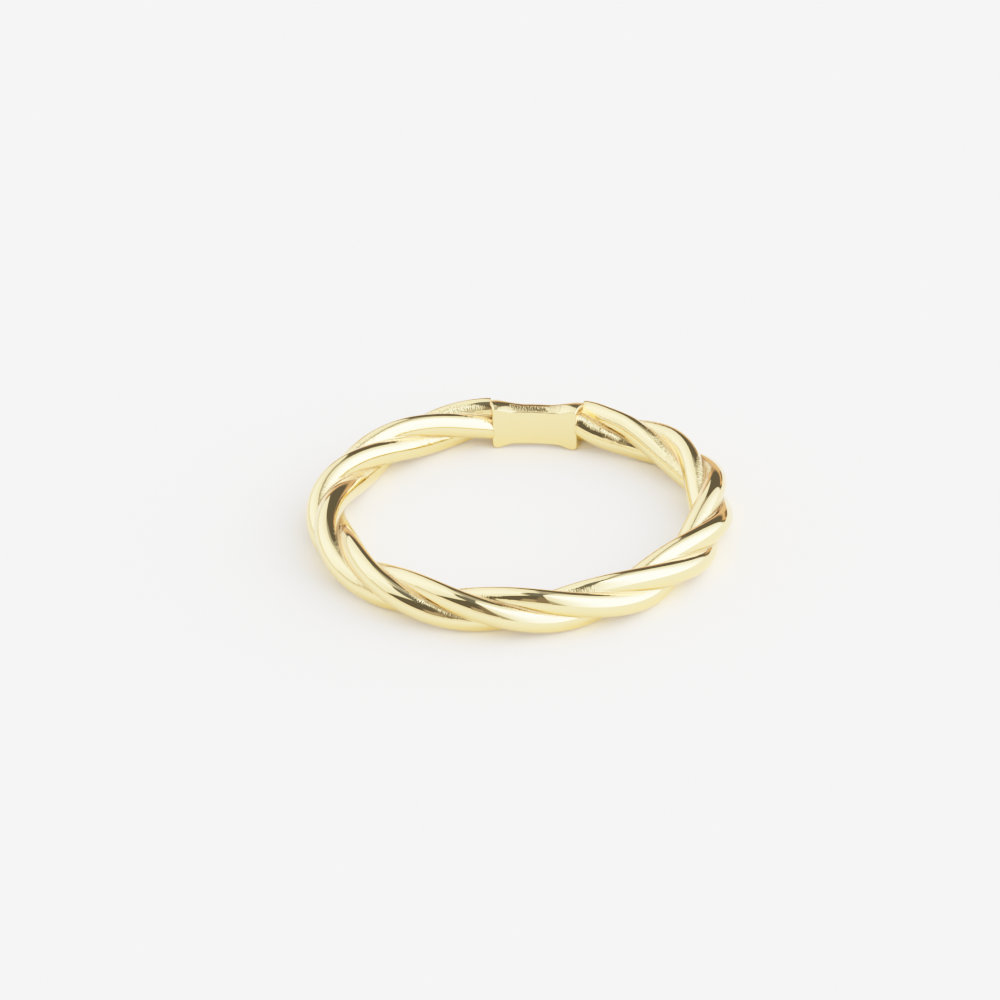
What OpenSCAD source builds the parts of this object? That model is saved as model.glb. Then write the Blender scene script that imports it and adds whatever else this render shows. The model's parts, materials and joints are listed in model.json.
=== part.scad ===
// Rope twist finger ring, cast in one piece: three round strands laid together as a
// right-hand rope, closed at the back by a plain waisted plate.
// It lies on its side on the plane z = 0. The middle of the finger hole is on the Z axis,
// and the middle of the back plate is on +Y. Millimetres and degrees.

/* [Finger hole] */
// Diameter of the finger hole, between the innermost points of the rope
finger_d = 17.3; // [14:0.1:23]

/* [Rope] */
// Number of strands laid together
strand_count = 3; // [2:1:4]
// Diameter of each round strand
strand_d = 1.22; // [0.8:0.01:1.8]
// How far neighbouring strands run into each other
strand_merge = 0.19; // [0.02:0.01:0.4]
// Length of rope in which each strand goes once round the rope
rope_lay = 15.1; // [8:0.1:40]
// Turn of the strands at the front of the ring: 0 puts one of them straight outwards
front_turn = 3.8; // [0:0.1:120]

/* [Back plate] */
// Length of the plate along its inner face
plate_l = 4.5; // [3.2:0.1:9]
// Height of the plate at its two ends
plate_end_h = 2.46; // [2.1:0.01:3.2]
// Height of the plate at its waist
plate_waist_h = 1.91; // [1.2:0.01:2.3]
// Length of the straight stretch of the waist
waist_l = 2.3; // [0.4:0.1:3.4]
// Rounding of the plate's four corners, seen from inside the ring
corner_r = 0.25; // [0.05:0.01:0.4]
// Depth of the plate's flat upper and lower sides at the waist, before its back turns round
plate_side = 0.7; // [0.3:0.05:1.2]
// Depth of those sides at the plate's two ends
plate_end_side = 0.95; // [0.5:0.05:1.2]
// How far the plate's inner face lies behind the innermost points of the rope
plate_setback = 0.13; // [0:0.01:0.3]
// Length of the step between the rope and each end of the plate
step_l = 0.06; // [0.03:0.01:0.2]

/* [Facets] */
// Points round one section, shared out among the strands
section_points = 36; // [24:12:36]
// Sections along the rope
rope_sections = 130; // [80:1:140]
// Sections along the straight waist of the plate
waist_sections = 4; // [2:1:6]
// Sections along each flare of the plate, from its waist to its end
flare_sections = 6; // [3:1:8]
// Sections round each corner of the plate
corner_sections = 3; // [2:1:4]

/* [Hidden] */

gold = [0.93, 0.86, 0.62];

// The rope: distance between neighbouring strands, and of each from the rope's middle
strand_r = strand_d / 2;
strand_spacing = strand_d - strand_merge;
strand_orbit = strand_spacing / 2 / sin(180 / strand_count);
rope_r = strand_orbit + strand_r;
rope_ring_r = finger_d / 2 + rope_r;
twist_rate = 2 * PI * rope_ring_r / rope_lay;

// A strand leans as it winds, so a cut across the rope shows it stretched to an ellipse
lean = atan(strand_orbit * twist_rate / rope_ring_r);
stretch = 1 / cos(lean);
crease_dir = atan2(sin(180 / strand_count), cos(180 / strand_count) * stretch);
lobe_sweep = crease_dir + asin(strand_orbit * sin(crease_dir) / strand_r);
lobe_points = section_points / strand_count;

// The plate: its inner face, its half angle, and the angle taken by the step to the rope
face_r = finger_d / 2 + plate_setback;
plate_half_l = plate_l / 2;
flare_end = plate_half_l - corner_r;
plate_half_angle = plate_half_l / face_r * 180 / PI;
step_angle = step_l / face_r * 180 / PI;
rope_start = plate_half_angle + step_angle;
rope_span = 360 - 2 * rope_start;

// The ring rests on whichever reaches lower, the strands or the ends of the plate
middle_z = max(rope_r, plate_end_h / 2);

// A point u from the ring's axis and w above its middle plane, at an angle from the plate
function at(angle, u, w) = [u * sin(angle), u * cos(angle), middle_z + w];

// Turn of the first strand about the middle of the rope
function strand_turn(angle) = front_turn + twist_rate * (angle - 180);

// One section of the rope: an arc for each strand, from crease to crease
function rope_section(angle) =
    [for (strand = [0 : strand_count - 1], k = [0 : lobe_points - 1])
        let (turn = strand_turn(angle) + strand * 360 / strand_count,
             t = lobe_sweep * (2 * k / lobe_points - 1),
             out = strand_orbit + strand_r * cos(t),
             side = strand_r * sin(t) * stretch)
        at(angle,
           rope_ring_r + out * cos(turn) - side * sin(turn),
           out * sin(turn) + side * cos(turn))];

// Share of the way from the waist to the full end, at a distance s from the plate's middle
function flare(s) =
    let (t = (s - waist_l / 2) / (flare_end - waist_l / 2))
    t <= 0 ? 0 : t >= 1 ? 1 : (1 - cos(180 * t)) / 2;

// How much the rounded corners take off at each edge, past the end of the flare
function corner_drop(s) =
    s <= flare_end ? 0 : corner_r - sqrt(max(0, corner_r ^ 2 - (s - flare_end) ^ 2));

// Half of the plate's height, and the depth of its flat sides, at a distance s
function half_h(s) =
    plate_waist_h / 2 + (plate_end_h - plate_waist_h) / 2 * flare(s) - corner_drop(s);
function side_depth(s) = plate_side + (plate_end_side - plate_side) * flare(s);

// Points of one plate section on its round back, its flat sides and its inner face
back_points = round(section_points * 11 / 36);
side_points = round(section_points * 2 / 36);
face_points = section_points - 2 * (back_points + side_points);

// One section of the plate: the back is half a circle, the sides and inner face are flat
function plate_section(s) =
    let (angle = s / face_r * 180 / PI, h = half_h(abs(s)), depth = side_depth(abs(s)),
         back_r = face_r + depth)
    concat(
        [for (k = [0 : back_points - 1])
            let (t = 90 * k / back_points) at(angle, back_r + h * cos(t), h * sin(t))],
        [for (k = [0 : side_points - 1]) at(angle, back_r - depth * k / side_points, h)],
        [for (k = [0 : face_points - 1]) at(angle, face_r, h - 2 * h * k / face_points)],
        [for (k = [0 : side_points - 1]) at(angle, face_r + depth * k / side_points, -h)],
        [for (k = [0 : back_points - 1])
            let (t = 90 * k / back_points - 90) at(angle, back_r + h * cos(t), h * sin(t))]);

// Places along half of the plate, from its middle out to its end
half_plate = concat(
    [for (k = [1 : waist_sections]) waist_l / 2 * k / waist_sections],
    [for (k = [1 : flare_sections])
        waist_l / 2 + (flare_end - waist_l / 2) * k / flare_sections],
    [for (k = [1 : corner_sections]) flare_end + corner_r * sin(90 * k / corner_sections)]);
half_count = len(half_plate);
plate_places = concat(
    [for (k = [half_count - 1 : -1 : 0]) -half_plate[k]], [0], half_plate);

// How many points a rope section has to be turned back by, to start straight outwards
function first_point(angle) =
    round((strand_turn(angle) - lobe_sweep / lobe_points) * section_points / 360
          - lobe_points / 2);

// Joins neighbouring sections into one closed skin round the ring. A shift of k pairs the
// points of one section with those k further on in the next.
module skin(sections, shifts) {
    n = section_points;
    count = len(sections);
    polyhedron(
        points = [for (section = sections) each section],
        faces = [for (i = [0 : count - 1], k = [0 : n - 1])
            let (next = (i + 1) % count * n,
                 a = i * n + k,
                 b = i * n + (k + 1) % n,
                 c = next + (((k + shifts[i]) % n) + n) % n,
                 d = next + (((k + 1 + shifts[i]) % n) + n) % n)
            each [[a, c, b], [b, c, d]]]);
}

// The whole casting: the rope from one end of the plate round to the other, then the plate
module ring() {
    rope = [for (i = [0 : rope_sections - 1])
        rope_section(rope_start + rope_span * i / (rope_sections - 1))];
    plate = [for (s = plate_places) plate_section(s)];
    shifts = concat(
        [for (i = [1 : rope_sections - 1]) 0],
        [first_point(rope_start + rope_span)],
        [for (i = [1 : len(plate) - 1]) 0],
        [-first_point(rope_start)]);
    color(gold) skin(concat(rope, plate), shifts);
}

ring();
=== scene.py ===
# %% [markdown]
# # A gold finger ring of three twisted strands
# The ring is one casting: a rope of three round strands that runs round the finger hole, and
# a plain waisted plate that closes it at the back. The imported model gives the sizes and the
# place of everything; this script makes the surfaces that are seen, their gold, and a pale
# studio round them. Everything is in metres, so sizes are written in millimetres times mm.

# %% Load the frame
import json
import math

import bpy
from mathutils import Matrix, Vector


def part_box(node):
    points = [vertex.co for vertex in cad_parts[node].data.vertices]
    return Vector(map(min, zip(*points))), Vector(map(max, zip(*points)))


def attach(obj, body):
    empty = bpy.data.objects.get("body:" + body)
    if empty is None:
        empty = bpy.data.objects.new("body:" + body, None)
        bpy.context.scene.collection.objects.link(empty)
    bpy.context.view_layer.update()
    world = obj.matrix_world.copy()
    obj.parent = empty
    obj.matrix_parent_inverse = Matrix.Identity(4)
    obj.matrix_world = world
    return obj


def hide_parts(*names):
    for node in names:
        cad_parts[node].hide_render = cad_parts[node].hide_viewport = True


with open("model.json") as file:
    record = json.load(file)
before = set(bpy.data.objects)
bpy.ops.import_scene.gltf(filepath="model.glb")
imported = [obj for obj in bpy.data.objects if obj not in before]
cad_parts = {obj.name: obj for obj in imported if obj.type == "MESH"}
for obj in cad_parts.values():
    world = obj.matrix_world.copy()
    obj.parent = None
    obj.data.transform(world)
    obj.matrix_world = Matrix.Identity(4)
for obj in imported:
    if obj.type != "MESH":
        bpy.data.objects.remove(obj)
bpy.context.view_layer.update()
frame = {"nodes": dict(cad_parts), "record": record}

mm = 0.001

# %% [markdown]
# ## Sizes of the ring
# The frame says how wide the finger hole is and how thick the rope is, and its box gives the
# height of the plane that the ring is symmetric about. The few sizes that it doesn't say are
# named here once, as real lengths of the ring. All the rest is worked out from these.

# %% Sizes of the ring
hole = frame["record"]["mounts"][0]["dims"]
finger_r = hole["r_mm"] * mm
rope_r = hole["length_mm"] / 2 * mm
ring_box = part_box("ring")
middle_z = (ring_box[0].z + ring_box[1].z) / 2

strand_count = 3
strand_r = 0.61 * mm
rope_lay = 15.1 * mm            # length of rope in which a strand goes once round
front_turn = math.radians(3.8)  # turn of the strands at the front of the ring

orbit = rope_r - strand_r       # distance of each strand from the middle of the rope
ring_r = finger_r + rope_r      # distance of the rope's middle from the finger hole's middle
twist = 2 * math.pi * ring_r / rope_lay
lean = math.atan(orbit * twist / ring_r)
print("ring radius", round(ring_r / mm, 3), "mm, strands lean", round(math.degrees(lean), 1))

# %% [markdown]
# ## The camera
# The photo was taken from about 30 degrees above the table with a long lens, from a little
# to the right of the ring's front. A long lens far away keeps the far side of the ring
# nearly as big as the near side. The camera leans a little, so it is turned about its own
# line of sight, and it is moved sideways until the ring falls where it does in the photo.

# %% Camera
image_px = 1000
focal_px = 5098                 # focal length in pixels of the image
ring_in_image = (519.2, 511.2)  # pixel where the middle of the ring falls
camera_azimuth = math.radians(6.3)
camera_elevation = math.radians(30.19)
camera_roll = math.radians(1.23)
camera_distance = 263.7 * mm

target = Vector((0, 0, middle_z))
back = Vector((math.sin(camera_azimuth) * math.cos(camera_elevation),
               -math.cos(camera_azimuth) * math.cos(camera_elevation),
               math.sin(camera_elevation)))
level_right = Vector((math.cos(camera_azimuth), math.sin(camera_azimuth), 0))
level_up = back.cross(level_right)
right = level_right * math.cos(camera_roll) - level_up * math.sin(camera_roll)
up = level_up * math.cos(camera_roll) + level_right * math.sin(camera_roll)
m_per_px = camera_distance / focal_px
eye = (target + back * camera_distance
       - right * (ring_in_image[0] - image_px / 2) * m_per_px
       + up * (ring_in_image[1] - image_px / 2) * m_per_px)

camera_data = bpy.data.cameras.new("camera")
camera_data.sensor_width = 36
camera_data.lens = camera_data.sensor_width * focal_px / image_px
camera_data.clip_start = 10 * mm
camera_data.clip_end = 5
camera = bpy.data.objects.new("camera", camera_data)
camera.matrix_world = Matrix((right, up, back)).transposed().to_4x4()
camera.matrix_world.translation = eye
bpy.context.scene.collection.objects.link(camera)
bpy.context.scene.camera = camera
print("lens", round(camera_data.lens, 1), "mm, eye in mm", [round(c / mm, 1) for c in eye])

# %% [markdown]
# ## Small helpers for node trees
# Materials, the world and Geometry Nodes are all trees of nodes. One helper adds a node,
# sets it up and fills or links its inputs. The others add the few nodes that every tree
# here needs: sums, smooth steps, mixed colours and vectors. With these, a tree reads
# nearly like a formula.

# %% Node helpers
def add(tree, kind, inputs=None, **settings):
    """Adds a node, sets its settings, and fills its inputs with values or with links."""
    node = tree.nodes.new(kind)
    for key, value in settings.items():
        setattr(node, key, value)
    for key, value in (inputs or {}).items():
        if isinstance(value, bpy.types.NodeSocket):
            tree.links.new(value, node.inputs[key])
        else:
            node.inputs[key].default_value = value
    return node


def calc(tree, operation, *values, clamp=False):
    """Does one sum and returns its result."""
    node = add(tree, "ShaderNodeMath", dict(enumerate(values)),
               operation=operation, use_clamp=clamp)
    return node.outputs[0]


def ramp(tree, value, start, end, low=0.0, high=1.0):
    """Goes smoothly from low to high while value goes from start to end."""
    limits = {"From Min": start, "From Max": end, "To Min": low, "To Max": high}
    node = add(tree, "ShaderNodeMapRange", {"Value": value, **limits},
               interpolation_type="SMOOTHSTEP")
    return node.outputs["Result"]


def mix(tree, share, a, b, label="", **settings):
    """Mixes two colours: a where the share is 0, and b where it is 1."""
    node = add(tree, "ShaderNodeMix", {"Factor": share, "A": a, "B": b},
               data_type="RGBA", label=label, **settings)
    return node.outputs["Result"]


def scale(tree, vector, amount):
    """Multiplies a vector or a colour by a number."""
    node = add(tree, "ShaderNodeVectorMath", {0: vector, "Scale": amount}, operation="SCALE")
    return node.outputs["Vector"]


def split(tree, vector):
    """The X, Y and Z of a vector."""
    return add(tree, "ShaderNodeSeparateXYZ", {"Vector": vector}).outputs


def join(tree, **parts):
    """A vector made of an X, a Y and a Z."""
    return add(tree, "ShaderNodeCombineXYZ", parts).outputs["Vector"]


def noise(tree, place, **inputs):
    """Random lumps: a number around 0.5, and seldom below 0.3 or above 0.7."""
    kind = "4D" if "W" in inputs else "3D"
    node = add(tree, "ShaderNodeTexNoise", {"Vector": place, **inputs}, noise_dimensions=kind)
    return node.outputs[0]


print("helpers for nodes: add, calc, ramp, mix, scale, split, join, noise")

# %% [markdown]
# ## The studio
# Polished gold shows its surroundings more than its own colour, so the studio matters as
# much as the metal. In the photo every strand carries the same few reflections: a large
# bright panel on the right, a dimmer one on the left, the pale table below, and between the
# panels a dark band that runs from behind the ring over the top to the front left. Lamps
# with real cards would do; the ring is so small beside a studio that the panels may as well
# be painted on the sky, where each one is a patch between two directions and two heights.
# Directions are in degrees clockwise from +Y, the way to the back plate, seen from above,
# and heights are in degrees above the horizon.

# %% Directions of the sky
sky_seam = 176                  # direction in which the degrees jump back by a whole turn

world = bpy.data.worlds.new("studio")
bpy.context.scene.world = world
world.use_nodes = True
sky = world.node_tree
sky.nodes.clear()

sky_x, sky_y, sky_z = split(sky, add(sky, "ShaderNodeTexCoord").outputs["Generated"])
turned = calc(sky, "DEGREES", calc(sky, "ARCTAN2", sky_x, sky_y))
azimuth = calc(sky, "WRAP", turned, sky_seam, sky_seam - 360)
elevation = calc(sky, "DEGREES", calc(sky, "ARCSINE", sky_z))
print("directions from", sky_seam - 360, "to", sky_seam, "degrees")

# %% [markdown]
# A panel is a mask that lays its colour over what is already painted. Most panels are
# upright patches. The two big ones lean, so each of their edges has a tilt: how many
# degrees it moves sideways for each degree up. They are brighter in the middle than at
# their sides, as cloth with a lamp behind it is.

# %% Helpers for panels
def between(value, limits, soft):
    """1 between two limits and 0 outside them, with soft edges."""
    rise = ramp(sky, value, limits[0] - soft, limits[0] + soft)
    fall = ramp(sky, value, limits[1] + soft, limits[1] - soft)
    return calc(sky, "MULTIPLY", rise, fall)


def edge(start, soft, tilt):
    """0 to the left of a slanting edge and 1 to its right."""
    here = calc(sky, "MULTIPLY_ADD", elevation, -tilt, azimuth)
    return ramp(sky, here, start - soft, start + soft)


def leaning(left_edge, right_edge):
    """The sides of a panel between two slanting edges."""
    before_right = calc(sky, "SUBTRACT", 1, edge(*right_edge))
    return calc(sky, "MULTIPLY", edge(*left_edge), before_right)


def glowing(dim, bright, rise, fall):
    """A colour that is bright where the rise has ended and the fall hasn't begun."""
    middle = calc(sky, "MULTIPLY", ramp(sky, azimuth, *rise), ramp(sky, azimuth, *fall))
    return mix(sky, middle, (*dim, 1), (*bright, 1))


def panel(name, colour, below, sides, heights, soft):
    """Lays a panel over what is below it."""
    if isinstance(sides, tuple):
        sides = between(azimuth, sides, soft)
    if isinstance(colour, tuple):
        colour = (*colour, 1)
    mask = calc(sky, "MULTIPLY", sides, between(elevation, heights, soft))
    return mix(sky, mask, below, colour, name)


left_sides = leaning((-110, 3, -0.4), (-21, 1.5, 0.4))
left_colour = glowing((0.95, 0.95, 0.97), (1.45, 1.43, 1.5), (-125, -75), (-10, -60))
right_sides = leaning((44.5, 1.5, -0.55), (160, 4, 0.3))
right_colour = glowing((0.88, 0.91, 0.98), (2.5, 2.7, 3.1), (28, 84), (172, 110))
print("two big panels use", len(sky.nodes), "nodes")

# %% [markdown]
# The order matters, because each panel covers the ones before it. First come the dull
# things that stand round the table, then the pale sweep that lies low on all sides, then
# the two big panels, and last the dark ceiling between and above them. The warm wall
# behind the ring gives the orange lines along the strands.

# %% Panels
dark_room = (0.065, 0.063, 0.066)
panels = [
    # name, colour, directions or sides, heights, softness of the edges
    ("camera stand", (0.14, 0.12, 0.115), (-190, -171), (20, 70), 2),
    ("grey card", (0.27, 0.23, 0.21), (-171, -158), (14, 40), 2),
    ("dim corner", (0.27, 0.27, 0.26), (156, 190), (4, 70), 2),
    ("warm wall", (0.62, 0.38, 0.25), (-30, 33), (-1, 11), 3),
    ("doorway", (0.12, 0.08, 0.06), (12, 28), (-1, 7), 2),
    ("low sweep", (0.85, 0.80, 0.78), (-200, -24), (-91, 15), 2),
    ("low sweep right", (1.1, 1.05, 1.05), (40, 190), (-91, 6), 3),
    ("front sweep", (0.95, 0.87, 0.82), (-157, -116), (-91, 19.5), 1.5),
    ("left panel", left_colour, left_sides, (16, 78), 1.5),
    ("gap under left panel", (0.20, 0.17, 0.13), (-124, -98), (16.5, 20), 1),
    ("right panel", right_colour, right_sides, (5, 100), 1.5),
    ("ceiling gap", (0.28, 0.29, 0.34), (-6, 12), (45, 72), 3),
    ("dark ceiling", (0.10, 0.11, 0.14), (-40, 12), (70, 80), 2),
    ("dark zenith", (0.09, 0.10, 0.13), (-190, 12), (75, 92), 1),
]
light = (*dark_room, 1)
for name, colour, sides, heights, soft in panels:
    light = panel(name, colour, light, sides, heights, soft)
print(len(panels), "panels on the sky")

# %% [markdown]
# ## Light for the sheet and for the grooves
# Painted light need not be the same for every ray: the Light Path node says what a ray has
# met on its way. In the photo the shade round the ring is very soft and warm. So a ray
# that left the sheet finds an even light, a little stronger from both sides and from low
# down, and a ray that went on from the sheet to the gold finds a warm one, which is the
# glow at the foot of a polished ring. Deep in the grooves the gold mirrors itself, takes
# on its colour twice and would turn orange. There the photo is tan, so a second reflection
# gets less green and more blue. The camera sees a plain white backdrop.

# %% Light for the sheet and for the grooves
light_above = 0.88              # even light from straight above
light_low = 0.6                 # how much it grows towards the horizon
light_sides = 1.5               # how much it grows to the left and to the right
light_right = 0.95              # how much the right has more of it than the left
white = (1, 1, 1, 1)
off_gold = (1.8, 1.45, 0.1, 1)
in_grooves = (1, 0.92, 1.3, 1)

low = calc(sky, "SUBTRACT", 1, sky_z)
from_low = calc(sky, "MULTIPLY_ADD", calc(sky, "MULTIPLY", low, low), light_low, light_above)
sideways = calc(sky, "MULTIPLY_ADD", sky_x, light_sides, light_right)
even = calc(sky, "MULTIPLY_ADD", sky_x, sideways, from_low)

rays = add(sky, "ShaderNodeLightPath").outputs
met_sheet = calc(sky, "GREATER_THAN", rays["Diffuse Depth"], 0.5)
met_gold_twice = calc(sky, "GREATER_THAN", rays["Glossy Depth"], 1.5)
tint = mix(sky, rays["Is Glossy Ray"], white, off_gold, "light off the gold")
sheet_light = scale(sky, tint, even)
light = mix(sky, met_gold_twice, light, in_grooves, "grooves", blend_type="MULTIPLY")
light = mix(sky, met_sheet, light, sheet_light, "light on the sheet")
light = mix(sky, rays["Is Camera Ray"], light, white, "backdrop")
background = add(sky, "ShaderNodeBackground", {"Color": light, "Strength": 1.0})
add(sky, "ShaderNodeOutputWorld", {"Surface": background.outputs["Background"]})
world.cycles.sampling_method = "NONE"
print("studio has", len(sky.nodes), "nodes")

# %% [markdown]
# ## The film
# The photo is exposed so that the sheet is nearly white. Film and cameras don't cut the
# brighter things off: they squeeze them more and more towards white. That is why polished
# gold looks cream where it is bright and orange where it is dim. A curve before the
# display does the same here: it follows 1 - exp(-exposure x light).

# %% Film
exposure = 2.4
brightest = 4.0                 # the curve is level above this light
curve_places = [0, 0.01, 0.025, 0.05, 0.09, 0.14, 0.2, 0.28, 0.4, 0.6, 0.8, 1]

view = bpy.context.scene.view_settings
view.view_transform = "Standard"
view.look = "None"
view.use_curve_mapping = True
view.curve_mapping.white_level = (brightest, brightest, brightest)
film = view.curve_mapping.curves[3]  # the one for all three colours
for place in curve_places:
    height = 1 - math.exp(-exposure * brightest * place)
    if place in (0, 1):
        film.points[-1 if place else 0].location = (place, height)
    else:
        film.points.new(place, height)
view.curve_mapping.update()
print("film shows light 1 as", round(1 - math.exp(-exposure), 3))

# %% [markdown]
# ## The table
# A plain pale sheet, wide enough to reach the horizon of every view. It is matte, so all
# that it shows of the ring is a soft warm shade.

# %% Table
table_half = 1.5
sheet_colour = (0.75, 0.75, 0.75, 1)

sheet = bpy.data.materials.new("pale_sheet")
sheet.use_nodes = True
sheet_shader = sheet.node_tree.nodes["Principled BSDF"]
sheet_shader.inputs["Base Color"].default_value = sheet_colour
sheet_shader.inputs["Roughness"].default_value = 0.9
sheet_shader.inputs["Specular IOR Level"].default_value = 0.0

table_mesh = bpy.data.meshes.new("table")
corners = [(-1, -1), (1, -1), (1, 1), (-1, 1)]
table_points = [(x * table_half, y * table_half, 0) for x, y in corners]
table_mesh.from_pydata(table_points, [], [range(4)])
table_mesh.materials.append(sheet)
table = bpy.data.objects.new("table", table_mesh)
bpy.context.scene.collection.objects.link(table)
print("table", 2 * table_half, "m wide")

# %% [markdown]
# ## The gold
# The strands were polished after casting, but the polishing wheel doesn't reach into the
# grooves between them, so the metal there keeps the fine ripples and grain of the casting.
# Separate materials would meet at a hard line. One material does better: each surface
# carries a few numbers between 0 and 1, and they say how much of each finish it has.
# The number rough_cast is 1 where the wheel never came, and brings the bump. The number crease is 1
# at the bottom of a crease and less at the joints with the plate; there the gold is dull, and a
# darker gold is painted on as the shade that falls in the crease and the joint. The number satin is
# 1 on the plate's inner face, which was only brushed.

# %% How rough the finishes are
polish = (0.025, 0.05)          # roughness of polished gold, which changes from place to place
cast_roughness = 0.03           # this and the next two are added to it
crease_roughness = 0.30
satin_roughness = 0.27
gold_colour = (0.90, 0.70, 0.305, 1)
# painted shade: a darker gold that the creases and the joints with the plate are coloured towards
crease_shade_colour = (0.54, 0.37, 0.15, 1)
print("gold is between", polish[0], "and", polish[1] + crease_roughness, "rough")

# %% [markdown]
# The ripples run across the strands, so they can't follow X, Y and Z. They follow two more
# numbers on the surface: the distance along the piece and the distance round it. Dividing
# each by the ripple's own size there gives a place in a pattern of long narrow lumps. The
# marks are stronger in some patches than in others, as on the real casting. They are far
# too fine to model, so they are bump; the short ribs under them are part of the mesh.

# %% Casting marks
ripple_pitch = 0.07 * mm        # size of a ripple along the strand
ripple_width = 0.35 * mm        # and round it
ripple_height = 0.04 * mm
grain_size = 0.06 * mm
grain_height = 0.005 * mm
patch_size = 1.1 * mm
weakest_patch = 0.35            # share of the marks that is left in the smoothest patches


def attribute(tree, name):
    """The number stored on the surface under that name."""
    return add(tree, "ShaderNodeAttribute", attribute_name=name).outputs["Fac"]


def casting_bump(tree, grain, patches):
    """Ripples and grain where rough_cast is above 0, as a normal for the shader."""
    place = join(tree, X=calc(tree, "DIVIDE", attribute(tree, "along"), ripple_pitch),
                 Y=calc(tree, "DIVIDE", attribute(tree, "around"), ripple_width))
    ripples = noise(tree, place, Scale=1.0, Detail=2.0, Roughness=0.45)
    patchy = ramp(tree, patches, 0.3, 0.6, weakest_patch)
    strength = calc(tree, "MULTIPLY", attribute(tree, "rough_cast"), patchy)
    ripple_bump = add(tree, "ShaderNodeBump", {
        "Height": calc(tree, "MULTIPLY", ripples, strength),
        "Distance": ripple_height, "Strength": 1.0})
    grain_bump = add(tree, "ShaderNodeBump", {
        "Height": calc(tree, "MULTIPLY", grain, strength),
        "Distance": grain_height, "Strength": 1.0,
        "Normal": ripple_bump.outputs["Normal"]})
    return grain_bump.outputs["Normal"]


def make_gold():
    """Gold that is polished, cast, creased or satin, with painted shade in the creases, as the
    surface's numbers say.
    """
    material = bpy.data.materials.new("cast_gold")
    material.use_nodes = True
    tree = material.node_tree
    shader = tree.nodes["Principled BSDF"]
    shader.inputs["Metallic"].default_value = 1.0

    position = add(tree, "ShaderNodeTexCoord").outputs["Object"]
    grain = noise(tree, position, Scale=1 / grain_size, Detail=2.0)
    patches = noise(tree, position, Scale=1 / patch_size, Detail=1.0)
    crease = attribute(tree, "crease")
    # painted shade: at the bottom of the creases the colour goes towards the darker gold, broken up
    # by the grain
    patchy_crease_shade = calc(tree, "MULTIPLY", crease, ramp(tree, grain, 0.3, 0.65, 0.5, 1.0))
    colour = mix(tree, patchy_crease_shade, gold_colour, crease_shade_colour)

    roughness = ramp(tree, patches, 0.3, 0.7, *polish)
    for finish, amount in ((attribute(tree, "rough_cast"), cast_roughness),
                           (crease, crease_roughness),
                           (attribute(tree, "satin"), satin_roughness)):
        roughness = calc(tree, "MULTIPLY_ADD", finish, amount, roughness)

    tree.links.new(casting_bump(tree, grain, patches), shader.inputs["Normal"])
    tree.links.new(colour, shader.inputs["Base Color"])
    tree.links.new(roughness, shader.inputs["Roughness"])
    return material


gold = make_gold()
print("gold has", len(gold.node_tree.nodes), "nodes")

# %% [markdown]
# ## The rope
# A rope follows a rule, so Geometry Nodes make it. A profile of three arcs, one for each
# strand, is swept along a path round the finger hole and turns as it goes. That gives one
# closed skin, as on the casting, where the strands are one metal. Three separate tubes
# would be easier, but they would pass through each other inside. These helpers start a
# tree, and store and read numbers on its points.

# %% Helpers for Geometry Nodes
def new_tree(name, inputs):
    """An empty Geometry Nodes tree with these named inputs."""
    tree = bpy.data.node_groups.new(name, "GeometryNodeTree")
    tree.interface.new_socket("Geometry", in_out="OUTPUT", socket_type="NodeSocketGeometry")
    for label, (kind, _) in inputs.items():
        tree.interface.new_socket(label, in_out="INPUT", socket_type=kind)
    return tree


def store(tree, geometry, name, value):
    """Stores a number on every point under that name."""
    node = add(tree, "GeometryNodeStoreNamedAttribute",
               {"Geometry": geometry, "Name": name, "Value": value},
               data_type="FLOAT", domain="POINT")
    return node.outputs["Geometry"]


def stored(tree, name):
    """Reads such a number back."""
    node = add(tree, "GeometryNodeInputNamedAttribute", {"Name": name}, data_type="FLOAT")
    return node.outputs[0]


def where(tree):
    """The place of each point."""
    return add(tree, "GeometryNodeInputPosition").outputs[0]


print("helpers for Geometry Nodes: new_tree, store, stored, where")

# %% [markdown]
# ## The rope's path
# The path is most of a circle, from one end of the plate round to the other. A worn ring
# is never quite round: in the photo its outline bends out or in a little at four places,
# and the path is pushed by as much there. Where the rope meets the plate it grows a little
# thinner and keeps a little further out, and it runs on a short way inside the plate. A
# tilt that grows along the path is what turns the strands round each other.

# %% Path
plate_l = 4.5 * mm
plate_setback = 0.13 * mm       # how far the plate's inner face lies behind the rope's
face_r = finger_r + plate_setback
rope_sink = 0.10 * mm           # how far the rope runs on inside the plate
rope_start = (plate_l / 2 - rope_sink) / face_r
rope_sweep = 2 * math.pi - 2 * rope_start
bends = [
    # direction, reach to both sides in degrees, distance outwards
    (-55, 34, -0.11 * mm),
    (24, 9, -0.10 * mm),
    (58, 38, 0.22 * mm),
    (122, 30, -0.12 * mm),
]


def outward_push(tree, near_end, given):
    """How far out each point of the path is pushed, as an offset."""
    place = where(tree)
    x, y, _ = split(tree, place)
    direction = calc(tree, "DEGREES", calc(tree, "ARCTAN2", x, y))
    push = calc(tree, "MULTIPLY", near_end, given["End Tuck"])
    for middle, reach, distance in bends:
        rise = ramp(tree, direction, middle - reach, middle)
        fall = ramp(tree, direction, middle + reach, middle)
        push = calc(tree, "MULTIPLY_ADD", calc(tree, "MULTIPLY", rise, fall), distance, push)
    return scale(tree, place, calc(tree, "DIVIDE", push, given["Ring Radius"]))


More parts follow.
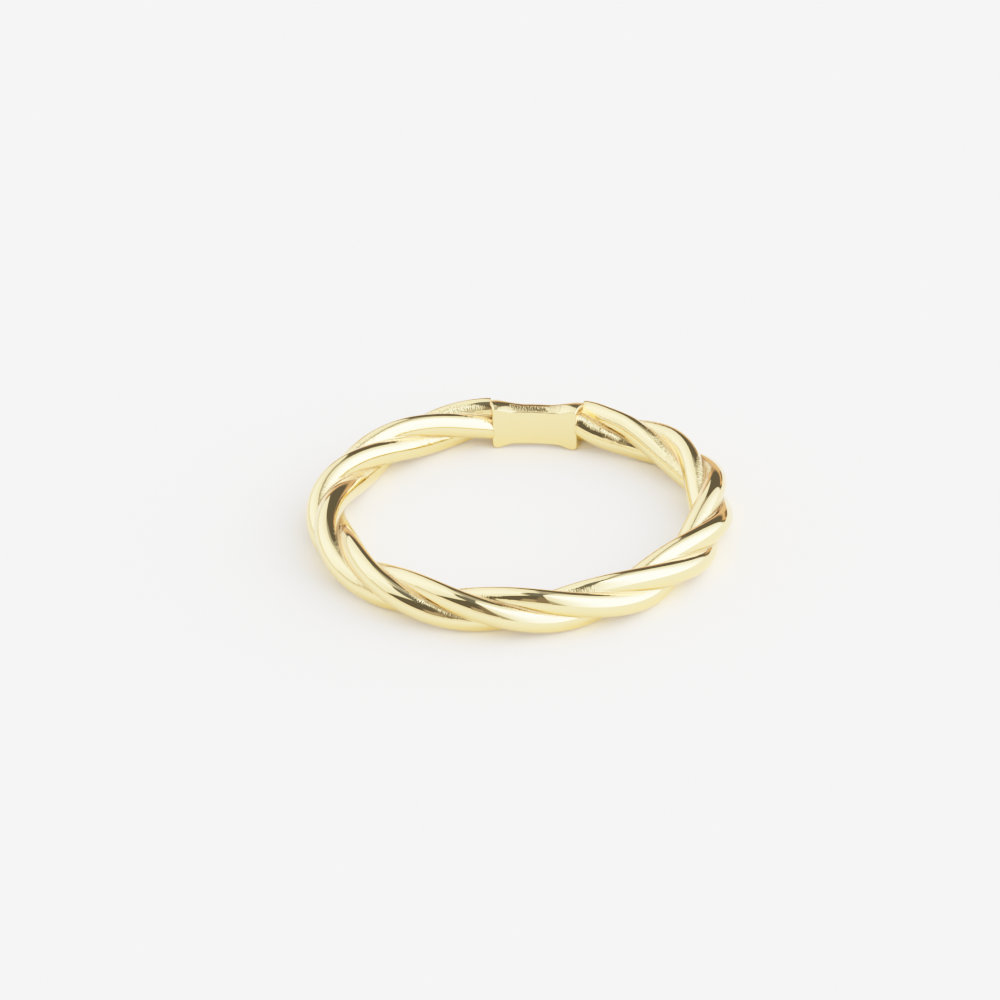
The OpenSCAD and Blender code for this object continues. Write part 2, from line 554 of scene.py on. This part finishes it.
def rope_path(tree, given):
    """The path, tilted more and more, with the distances along it stored on it."""
    arc = add(tree, "GeometryNodeCurveArc",
              {"Resolution": given["Sections"], "Radius": given["Ring Radius"],
               "Start Angle": given["Start"], "Sweep Angle": given["Sweep"]}, mode="RADIUS")
    way = add(tree, "GeometryNodeSplineParameter")
    before_middle = calc(tree, "SUBTRACT", 0.5, way.outputs["Factor"])
    to_end = calc(tree, "SUBTRACT", 0.5, calc(tree, "ABSOLUTE", before_middle))
    length = calc(tree, "MULTIPLY", given["Sweep"], given["Ring Radius"])
    from_end = calc(tree, "MULTIPLY", length, to_end)
    near_end = ramp(tree, from_end, given["End Length"], rope_sink)
    bent = add(tree, "GeometryNodeSetPosition",
               {"Geometry": arc.outputs["Curve"],
                "Offset": outward_push(tree, near_end, given)})
    upright = add(tree, "GeometryNodeSetCurveNormal",
                  {"Curve": bent.outputs["Geometry"]}, mode="Z_UP")
    past_front = calc(tree, "MULTIPLY", given["Sweep"], before_middle)
    turn = calc(tree, "MULTIPLY_ADD", past_front, given["Twist"], given["Front Turn"])
    tilted = add(tree, "GeometryNodeSetCurveTilt",
                 {"Curve": upright.outputs["Curve"], "Tilt": calc(tree, "MULTIPLY", turn, -1)})
    thinning = calc(tree, "MULTIPLY", near_end, given["End Thinning"])
    thinned = add(tree, "GeometryNodeSetCurveRadius",
                  {"Curve": tilted.outputs["Curve"], "Radius": calc(tree, "SUBTRACT", 1, thinning)})
    marked = store(tree, thinned.outputs["Curve"], "from_end", from_end)
    return store(tree, marked, "along", way.outputs["Length"])


print("rope from", round(math.degrees(rope_start), 1), "degrees past the plate's middle, with",
      len(bends), "bends")

# %% [markdown]
# ## The rope's profile
# A cut across the rope is three arcs that meet in creases. A strand leans as it winds, so
# the cut shows it stretched sideways. Points lie closer together near the creases, where
# the shading has to change quickly, and the bottom of each crease is filled up a little,
# because metal that was poured never has a sharp crease. Each point gets three numbers: its
# depth, from 0 on the strand's middle to 1 in the crease; its distance round the rope; and
# its lag, which makes up for the lean so that ripples run square across the strand.

# %% Profile
strand_stretch = 1 / math.cos(lean)
third = math.pi / strand_count
crease_direction = math.atan2(math.sin(third), math.cos(third) * strand_stretch)
arc_half = crease_direction + math.asin(orbit * math.sin(crease_direction) / strand_r)
crowding = 0.6 / math.pi        # how much closer the points lie near the creases
fill_share = 0.42               # the fill is this much of the fillet deep
strand_apart = 7 * mm           # puts each strand in a part of the ripples of its own


def place_on_strand(tree, given):
    """The strand of each profile point, and its place on it: -1 and 1 in the creases."""
    index = add(tree, "GeometryNodeInputIndex").outputs[0]
    turns = calc(tree, "DIVIDE", calc(tree, "ADD", index, 0.5), given["Arc Points"])
    strand = calc(tree, "FLOOR", turns)
    step = calc(tree, "SUBTRACT", index, calc(tree, "MULTIPLY", strand, given["Arc Points"]))
    share = calc(tree, "DIVIDE", calc(tree, "MULTIPLY", step, 2), given["Arc Points"])
    even_share = calc(tree, "SUBTRACT", share, 1)
    crowd = calc(tree, "SINE", calc(tree, "MULTIPLY", even_share, math.pi))
    return strand, calc(tree, "MULTIPLY_ADD", crowd, crowding, even_share)


def crease_fill(tree, given, spread):
    """How far the fill of a crease lifts each point: outwards, and towards the crease."""
    arc_length = calc(tree, "MULTIPLY", given["Arc Half"], given["Strand Radius"])
    shallow = calc(tree, "SUBTRACT", 1, calc(tree, "ABSOLUTE", spread))
    to_crease = calc(tree, "MULTIPLY", shallow, arc_length)
    near = calc(tree, "SUBTRACT", 1, calc(tree, "DIVIDE", to_crease, given["Fillet"]), clamp=True)
    most = calc(tree, "MULTIPLY", given["Fillet"], fill_share)
    fill = calc(tree, "MULTIPLY", calc(tree, "MULTIPLY", near, near), most)
    half_turn = calc(tree, "DIVIDE", math.pi, given["Strands"])
    outwards = calc(tree, "MULTIPLY", fill, calc(tree, "COSINE", half_turn))
    sideways = calc(tree, "MULTIPLY", fill, calc(tree, "SINE", half_turn))
    return outwards, calc(tree, "MULTIPLY", sideways, calc(tree, "SIGN", spread))


def rope_profile(tree, given):
    """The three arcs, with the three numbers stored on their points."""
    points = calc(tree, "MULTIPLY", given["Strands"], given["Arc Points"])
    circle = add(tree, "GeometryNodeCurvePrimitiveCircle", {"Resolution": points}, mode="RADIUS")
    strand, spread = place_on_strand(tree, given)
    fill_out, fill_side = crease_fill(tree, given, spread)
    angle = calc(tree, "MULTIPLY", spread, given["Arc Half"])
    across = calc(tree, "MULTIPLY", calc(tree, "SINE", angle), given["Strand Radius"])
    out = calc(tree, "MULTIPLY_ADD", calc(tree, "COSINE", angle), given["Strand Radius"],
               calc(tree, "ADD", given["Orbit"], fill_out))
    side = calc(tree, "MULTIPLY", calc(tree, "ADD", across, fill_side), given["Stretch"])
    all_turns = calc(tree, "MULTIPLY", strand, 2 * math.pi)
    turned = add(tree, "ShaderNodeVectorRotate",
                 {"Vector": join(tree, X=out, Y=side),
                  "Angle": calc(tree, "DIVIDE", all_turns, given["Strands"])},
                 rotation_type="Z_AXIS")
    shaped = add(tree, "GeometryNodeSetPosition",
                 {"Geometry": circle.outputs["Curve"], "Position": turned.outputs["Vector"]})
    marked = store(tree, shaped.outputs["Geometry"], "depth", calc(tree, "ABSOLUTE", spread))
    marked = store(tree, marked, "lag", calc(tree, "MULTIPLY", across, given["Lean Sine"]))
    around = calc(tree, "MULTIPLY_ADD", angle, given["Strand Radius"],
                  calc(tree, "MULTIPLY", strand, strand_apart))
    return store(tree, marked, "around", around)


print("each arc spans", round(2 * math.degrees(arc_half), 1), "degrees of its strand")

# %% [markdown]
# ## Where the rope stays rough
# The photo shows how the ring was polished. The wheel ran along its outer and inner sides,
# so it reached the flanks that face outwards or inwards, but not those that face up into a
# groove. Towards the plate the marks are wider and stronger than at the front, and on the
# right the outer side is clean. These rules give rough_cast. The number crease is 1 at
# the bottom of every crease, and goes some way up at the joints with the plate.

# %% Where the rope stays rough
back_part = (-2 * mm, 6 * mm)   # Y over which the marks grow from the front's to the back's
rough_begins = (0.64, 0.40)     # depth at which the marks begin, at the front and at the back
rough_is_full = (0.93, 0.70)    # depth at which they are full
rough_strength = (0.75, 1.0)
side_facing = (0.30, 0.70)      # a flank whose normal has less Z than this was polished
right_part = (0 * mm, 8 * mm)   # X over which the outer side becomes clean
clean_side = (1.3 * mm, 0.72 * mm)  # distance outwards from the path at which it is clean
clean_fade = 0.3 * mm
side_marks = 0.1                # share of the marks that a polished flank keeps
# the crease number makes the gold duller and paints a darker shade on it, in the creases and at the
# joints with the plate
crease_depths = (0.84, 0.985)   # depths between which the crease finish comes in
joint_reach = (0.30 * mm, 0.12 * mm)  # distances from the rope's end between which it comes in
joint_dullness_and_shade = 0.35


def casting_marks(tree, given):
    """How much of the casting marks each point keeps."""
    x, y, _ = split(tree, where(tree))
    begins = ramp(tree, y, *back_part, *rough_begins)
    full = ramp(tree, y, *back_part, *rough_is_full)
    grooves = ramp(tree, stored(tree, "depth"), begins, full)
    strength = ramp(tree, y, *back_part, *rough_strength)

    normal = add(tree, "GeometryNodeInputNormal").outputs[0]
    _, _, normal_z = split(tree, normal)
    level = ramp(tree, calc(tree, "ABSOLUTE", normal_z), *side_facing, side_marks)

    squares = calc(tree, "ADD", calc(tree, "MULTIPLY", x, x), calc(tree, "MULTIPLY", y, y))
    outwards = calc(tree, "SUBTRACT", calc(tree, "SQRT", squares), given["Ring Radius"])
    clean_from = ramp(tree, x, *right_part, *clean_side)
    inner = ramp(tree, outwards, clean_from, calc(tree, "SUBTRACT", clean_from, clean_fade))

    marks = calc(tree, "MULTIPLY", grooves, strength)
    return calc(tree, "MULTIPLY", marks, calc(tree, "MULTIPLY", level, inner))


def crease_dullness_and_shade(tree):
    """Where the gold is dull and painted darker as shade: 1 at the bottom of the creases, and a
    part of that where the rope meets the plate.
    """
    crease = ramp(tree, stored(tree, "depth"), *crease_depths)
    joint = ramp(tree, stored(tree, "from_end"), *joint_reach, 0.0, joint_dullness_and_shade)
    return calc(tree, "MAXIMUM", crease, joint)


print("marks begin at depth", rough_begins[0], "in front and", rough_begins[1], "at the back")

# %% [markdown]
# ## The rope's relief
# A hand-polished strand isn't a perfect tube. The skin is lifted a little along its
# normals: slow swells everywhere, which make the reflections wander as in the photo, and
# short ribs in the grooves, where the casting marks are.

# %% Relief
def rope_relief(tree, given, skin):
    """Lifts the skin by the swells and the ribs."""
    swell_scale = calc(tree, "DIVIDE", 1, given["Swell Size"])
    swell = noise(tree, where(tree), Scale=swell_scale, W=given["Seed"], Detail=0.0)
    rib_length = calc(tree, "MULTIPLY", given["Rib Pitch"], 4)
    rib_place = join(tree, X=calc(tree, "DIVIDE", stored(tree, "along"), given["Rib Pitch"]),
                     Y=calc(tree, "DIVIDE", stored(tree, "around"), rib_length))
    rib = noise(tree, rib_place, Scale=1.0, W=given["Seed"], Detail=0.0)
    swell_lift = calc(tree, "MULTIPLY", calc(tree, "SUBTRACT", swell, 0.5), given["Swell Height"])
    rib_lift = calc(tree, "MULTIPLY", calc(tree, "SUBTRACT", rib, 0.5), given["Rib Height"])
    lift = calc(tree, "MULTIPLY_ADD", rib_lift, stored(tree, "rough_cast"), swell_lift)
    normal = add(tree, "GeometryNodeInputNormal").outputs[0]
    lifted = add(tree, "GeometryNodeSetPosition",
                 {"Geometry": skin, "Offset": scale(tree, normal, lift)})
    return lifted.outputs["Geometry"]


def rope_tree(inputs):
    """The whole rope: path, profile, skin, marks, relief and metal."""
    tree = new_tree("rope", inputs)
    given = {socket.name: socket for socket in add(tree, "NodeGroupInput").outputs}
    skin = add(tree, "GeometryNodeCurveToMesh",
               {"Curve": rope_path(tree, given), "Profile Curve": rope_profile(tree, given),
                "Fill Caps": True})
    along = calc(tree, "SUBTRACT", stored(tree, "along"), stored(tree, "lag"))
    marked = store(tree, skin.outputs["Mesh"], "along", along)
    marked = store(tree, marked, "rough_cast", casting_marks(tree, given))
    marked = store(tree, marked, "crease", crease_dullness_and_shade(tree))
    raised = add(tree, "GeometryNodeTransform",
                 {"Geometry": rope_relief(tree, given, marked),
                  "Translation": join(tree, Z=given["Height"])})
    smooth = add(tree, "GeometryNodeSetShadeSmooth", {"Geometry": raised.outputs["Geometry"]})
    real = add(tree, "GeometryNodeRealizeInstances", {"Geometry": smooth.outputs["Geometry"]})
    done = add(tree, "GeometryNodeSetMaterial",
               {"Geometry": real.outputs["Geometry"], "Material": given["Metal"]})
    add(tree, "NodeGroupOutput", {"Geometry": done.outputs["Geometry"]})
    return tree


# %% Inputs of the rope tree
rope_inputs = {
    "Ring Radius": ("NodeSocketFloat", ring_r),
    "Start": ("NodeSocketFloat", math.pi / 2 + rope_start),
    "Sweep": ("NodeSocketFloat", rope_sweep),
    "Height": ("NodeSocketFloat", middle_z),
    "Strands": ("NodeSocketInt", strand_count),
    "Strand Radius": ("NodeSocketFloat", strand_r),
    "Orbit": ("NodeSocketFloat", orbit),
    "Stretch": ("NodeSocketFloat", strand_stretch),
    "Lean Sine": ("NodeSocketFloat", math.sin(lean)),
    "Arc Half": ("NodeSocketFloat", arc_half),
    "Twist": ("NodeSocketFloat", twist),
    "Front Turn": ("NodeSocketFloat", front_turn),
    "Fillet": ("NodeSocketFloat", 0.10 * mm),
    "End Length": ("NodeSocketFloat", 1.3 * mm),
    "End Thinning": ("NodeSocketFloat", 0.09),
    "End Tuck": ("NodeSocketFloat", 0.04 * mm),
    "Arc Points": ("NodeSocketInt", 24),
    "Sections": ("NodeSocketInt", 1385),
    "Swell Height": ("NodeSocketFloat", 0.005 * mm),
    "Swell Size": ("NodeSocketFloat", 1.3 * mm),
    "Rib Height": ("NodeSocketFloat", 0.018 * mm),
    "Rib Pitch": ("NodeSocketFloat", 0.10 * mm),
    "Seed": ("NodeSocketFloat", 4.0),
    "Metal": ("NodeSocketMaterial", gold),
}
print("the rope tree has", len(rope_inputs), "inputs")

# %% [markdown]
# ## Running the tree
# A modifier runs the tree. Its inputs are set by each socket's identifier before it is first
# evaluated. The result is then copied to a plain mesh, because the finished piece has to be
# one that any other program can read, with no modifier left on it.

# %% Run the rope tree
def run_tree(tree, inputs, name):
    """Runs a tree once and returns its result as a plain mesh object."""
    holder = bpy.data.objects.new(name + "_holder", bpy.data.meshes.new(name + "_holder"))
    bpy.context.scene.collection.objects.link(holder)
    modifier = holder.modifiers.new("nodes", "NODES")
    modifier.node_group = tree
    for item in tree.interface.items_tree:
        if item.in_out == "INPUT":
            modifier[item.identifier] = inputs[item.name][1]
    evaluated = holder.evaluated_get(bpy.context.evaluated_depsgraph_get())
    mesh = bpy.data.meshes.new_from_object(evaluated)
    mesh.name = name
    bpy.data.objects.remove(holder)
    piece = bpy.data.objects.new(name, mesh)
    bpy.context.scene.collection.objects.link(piece)
    return piece


def triangles(piece):
    """How many triangles a piece has."""
    return sum(len(face.vertices) - 2 for face in piece.data.polygons)


rope = run_tree(rope_tree(rope_inputs), rope_inputs, "rope_band")
print("rope:", triangles(rope), "triangles, materials", [m.name for m in rope.data.materials],
      "attributes", [a.name for a in rope.data.attributes])

# %% [markdown]
# ## The back plate
# The plate is a short bar bent to the finger: flat inside, flat above and below, and round
# at the back. It is lower at its waist and spreads to both ends, where it meets the strands.
# Seen from inside the ring its lower corners are well rounded and its upper ones are
# tighter. The sides rise a little from the inner face to a crest, so the dark line along
# the top of the plate curves as in the photo. All edges are a little rounded, because a
# sharp edge never catches the light.

# %% Sizes of the plate
plate_end_h = 2.46 * mm
plate_waist_h = 1.91 * mm
waist_l = 2.3 * mm
corner_r = 0.25 * mm            # rounding of the lower corners, seen from inside the ring
top_corner_r = 0.10 * mm
plate_depth = 1.65 * mm         # from the inner face to the round back, at the waist
plate_end_depth = 2.25 * mm
crest_depth = 0.7 * mm          # how far behind the inner face the plate is highest
crest_end_depth = 0.45 * mm
front_drop = 0.08 * mm          # at its ends the plate's front edge is this much lower
crest_ramp = 0.5 * mm           # the crest starts to rise this far from the middle
edge_r = 0.05 * mm
flare_end = plate_l / 2 - corner_r


def smooth_step(value, start, end):
    """0 up to start, 1 from end on, and a smooth rise between them."""
    t = min(max((value - start) / (end - start), 0), 1)
    return t * t * (3 - 2 * t)


def blend(a, b, share):
    """A value on the way from a to b."""
    return a + (b - a) * share


def rounding(s, radius):
    """How much a rounded end has come in, at a distance s from the middle."""
    past = max(s - (plate_l / 2 - radius), 0)
    return radius - math.sqrt(max(radius ** 2 - past ** 2, 0))


print("plate", round(plate_l / mm, 2), "mm long, flared from", round(waist_l / 2 / mm, 2),
      "to", round(flare_end / mm, 2), "mm from its middle")

# %% [markdown]
# ## One cut across the plate
# A mesh is easiest here, as rows of points: each row is one cut across the bar. A row goes
# up the inner face, round the front edge, back along the side to the crest, and down the
# round back, and then the same under the bottom. Each point also gets its finish. The wheel
# touched only the raised ends, so the sides of the waist stay rough, and the inner face
# is satin. From there the satin fades towards the polished back.

# %% Rows of the plate
face_points = 10
edge_points = 4
side_points = 12
back_points = 24
body_rows = 40                  # rows from the plate's middle to where its corners begin
corner_rows = 8
edge_rows = 5
rough_half_l = 1.28 * mm        # the rough sides reach this far from the plate's middle
rough_fade = 0.03 * mm
side_satin = 0.35


def half_row(s, corner):
    """Upper half of one cut: depth, height, rough_cast and satin of each point."""
    reach = abs(s)
    flare = smooth_step(reach, waist_l / 2, flare_end)
    crest_flare = smooth_step(reach, crest_ramp, flare_end)
    rough = 1 - smooth_step(reach, rough_half_l - rough_fade, rough_half_l + rough_fade)
    inset = rounding(reach, edge_r)
    front_h = blend(plate_waist_h / 2, plate_end_h / 2 - front_drop, flare)
    front_h -= inset + rounding(reach, corner)
    crest_h = blend(plate_waist_h / 2, plate_end_h / 2, crest_flare)
    crest_h -= inset + rounding(reach, top_corner_r)
    crest = blend(crest_depth, crest_end_depth, flare)
    back_depth = blend(plate_depth, plate_end_depth, flare) - crest

    half = [(inset, front_h * k / face_points, 0, 1) for k in range(face_points)]
    for k in range(edge_points + 1):
        a = math.pi / 2 * k / edge_points
        depth = inset + edge_r * (1 - math.cos(a))
        height = front_h - edge_r * (1 - math.sin(a))
        half.append((depth, height, 0, 1 - k / edge_points))
    for k in range(1, side_points):
        share = k / side_points
        depth = blend(inset + edge_r, crest, share)
        height = blend(front_h, crest_h, 1 - (1 - share) ** 2)
        half.append((depth, height, rough, side_satin))
    for k in range(back_points + 1):
        a = math.pi / 2 * k / back_points
        satin = side_satin * (1 - k / back_points)
        half.append((crest + back_depth * math.sin(a), crest_h * math.cos(a), 0, satin))
    return half


def plate_row(s):
    """One whole cut, going up over the top and back under the bottom."""
    upper = half_row(s, top_corner_r)
    lower = half_row(s, corner_r)[-2:0:-1]
    return upper + [(depth, -height, *finish) for depth, height, *finish in lower]


def plate_places():
    """Places of the rows along the plate, closer together where it rounds off."""
    half = [flare_end * k / body_rows for k in range(1, body_rows + 1)]
    for start, length, count in ((flare_end, corner_r - edge_r, corner_rows),
                                 (plate_l / 2 - edge_r, edge_r, edge_rows)):
        half += [start + length * math.sin(math.pi / 2 * k / count) for k in range(1, count + 1)]
    return [-s for s in reversed(half)] + [0] + half


places = plate_places()
rows = [plate_row(s) for s in places]
print(len(rows), "rows of", len(rows[0]), "points")

# %% [markdown]
# ## The plate's mesh
# The rows follow the curve of the ring. Faces join each row to the next, and two faces
# close the ends, which sit against the strands. The finishes and the two distances that
# the ripples follow are stored on the points, under the names that the gold reads.

# %% Mesh of the plate
def plate_points():
    """Every point of the rows, in its place on the ring."""
    points = []
    for s, row in zip(places, rows):
        angle = s / face_r
        for depth, height, *_ in row:
            reach = face_r + depth
            points.append((reach * math.sin(angle), reach * math.cos(angle), middle_z + height))
    return points


def plate_faces():
    """Faces between the rows and over both ends, looking outwards."""
    count = len(rows[0])
    faces = []
    for i in range(len(rows) - 1):
        for k in range(count):
            n = (k + 1) % count
            faces.append((i * count + k, (i + 1) * count + k, (i + 1) * count + n, i * count + n))
    faces.append(tuple(range(count)))
    faces.append(tuple((len(rows) - 1) * count + k for k in reversed(range(count))))
    return faces


plate_mesh = bpy.data.meshes.new("back_plate")
plate_mesh.from_pydata(plate_points(), [], plate_faces())
plate_mesh.materials.append(gold)
finishes = {
    "rough_cast": [point[2] for row in rows for point in row],
    "satin": [point[3] for row in rows for point in row],
    "along": [s for s, row in zip(places, rows) for _ in row],
    "around": [point[0] for row in rows for point in row],
}
for name, values in finishes.items():
    plate_mesh.attributes.new(name, "FLOAT", "POINT").data.foreach_set("value", values)
plate_mesh.shade_smooth()
plate = bpy.data.objects.new("back_plate", plate_mesh)
bpy.context.scene.collection.objects.link(plate)
print("plate:", triangles(plate), "triangles")

# %% [markdown]
# ## Checks on the shapes
# A good habit is to measure what was made. The volume of a closed mesh is positive only if
# its faces look outwards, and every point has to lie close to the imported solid.

# %% Measure the pieces
sample_step = 23                # every 23rd point is enough to measure


def volume(piece):
    """Volume inside a closed mesh, in cubic millimetres: negative if it is inside out."""
    total = 0
    for face in piece.data.polygons:
        first, *others = [piece.data.vertices[v].co for v in face.vertices]
        for b, c in zip(others, others[1:]):
            total += first.dot(b.cross(c)) / 6
    return total / mm ** 3


def farthest_from_frame(piece):
    """Largest distance of the piece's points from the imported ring, in mm."""
    ring = frame["nodes"]["ring"]
    gaps = []
    for index in range(0, len(piece.data.vertices), sample_step):
        point = piece.data.vertices[index].co
        nearest = ring.closest_point_on_mesh(point)[1]
        gaps.append((nearest - point).length)
    return max(gaps) / mm


for piece in (rope, plate):
    print(piece.name, "volume", round(volume(piece), 2), "mm3, off the frame by up to",
          round(farthest_from_frame(piece), 3), "mm")

# %% [markdown]
# ## Hand the pieces over
# Both pieces ride on the ring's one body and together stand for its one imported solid.

# %% Hand over
for piece in (rope, plate):
    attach(piece, "root")
    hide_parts("ring")
